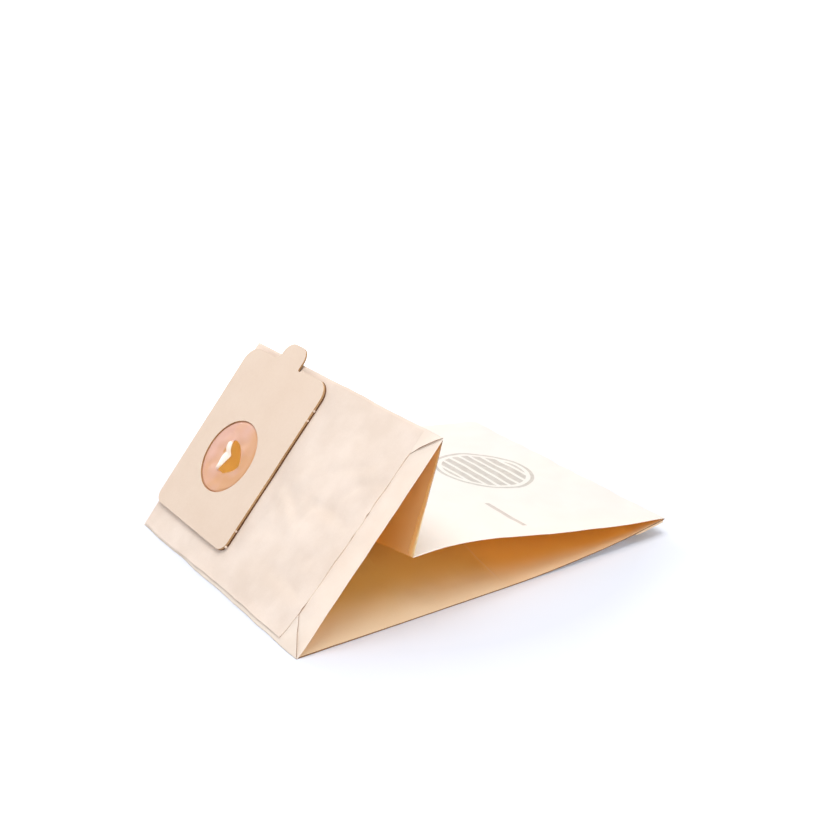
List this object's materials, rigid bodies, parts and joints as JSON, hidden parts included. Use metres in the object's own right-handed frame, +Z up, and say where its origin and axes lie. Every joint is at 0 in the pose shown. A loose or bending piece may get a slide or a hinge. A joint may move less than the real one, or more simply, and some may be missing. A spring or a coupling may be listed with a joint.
{
  "type": "vacuum cleaner dust bag",
  "caption": "Folded paper dust bag with a block bottom, gusseted sides and a board collar with a rubber inlet, lying half opened.",
  "frame": {"origin": "on the floor under the centre of the bag's bounding box, as it lies half opened on its back sheet", "axes": "+X along the bag from the block bottom's floor edge to the sealed end, +Y across the bag to the side that the collar sits on, +Z up"},
  "size_m": [0.2668, 0.2, 0.1159],
  "materials": {
    "kraft_paper": "matte",
    "collar_board": "matte",
    "inlet_rubber": "satin"
  },
  "bodies": {
    "root": {"paper_bag": "kraft_paper", "bottom_cover_patch": "kraft_paper", "collar_back_board": "collar_board", "inlet_rubber_sheet": "inlet_rubber", "collar_front_board": "collar_board"}
  },
  "joints": []
}
